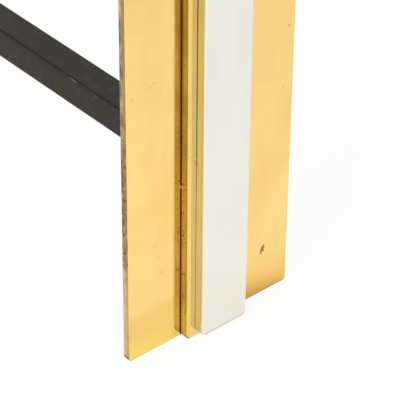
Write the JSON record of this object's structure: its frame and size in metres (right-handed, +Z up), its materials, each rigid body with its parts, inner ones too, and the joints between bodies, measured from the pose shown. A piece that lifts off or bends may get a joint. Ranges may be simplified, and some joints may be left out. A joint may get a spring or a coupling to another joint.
{
  "type": "pair of andirons",
  "caption": "Pair of andirons with flat layered brass and chrome fronts, each on a square iron billet bar that bends down into a rear leg; logs lie across the bars.",
  "frame": {"origin": "on the floor, at the middle of the pair's bounding box", "axes": "+X across the pair to the right as seen from the front, +Y back along the billet bars, +Z up; the fronts face -Y"},
  "size_m": [0.5014, 0.4826, 0.4572],
  "materials": {
    "polished_brass": "polished, lacquered, lightly cloudy and tarnished at the sawn edges",
    "polished_chrome": "polished plate",
    "black_iron": "satin black over rolled iron",
    "plain_steel": "plain, slightly dulled"
  },
  "bodies": {
    "left_andiron": {"left_face_plate": "polished_brass", "left_riser_strip": "polished_brass", "left_front_bar": "polished_chrome", "left_mounting_strap": "black_iron", "left_billet_bar": "black_iron", "left_bar_weld": "black_iron", "left_strap_screws": "plain_steel", "left_lock_washers": "plain_steel", "left_upper_screws": "plain_steel", "left_flat_washers": "plain_steel"},
    "right_andiron": {"right_face_plate": "polished_brass", "right_riser_strip": "polished_brass", "right_front_bar": "polished_chrome", "right_mounting_strap": "black_iron", "right_billet_bar": "black_iron", "right_bar_weld": "black_iron", "right_strap_screws": "plain_steel", "right_lock_washers": "plain_steel", "right_upper_screws": "plain_steel", "right_flat_washers": "plain_steel"}
  },
  "joints": [
    {"name": "pair_spacing", "type": "slide", "parent": "left_andiron", "child": "right_andiron", "axis": [1, 0, 0], "range_m": [-0.2, 0.25]}
  ]
}
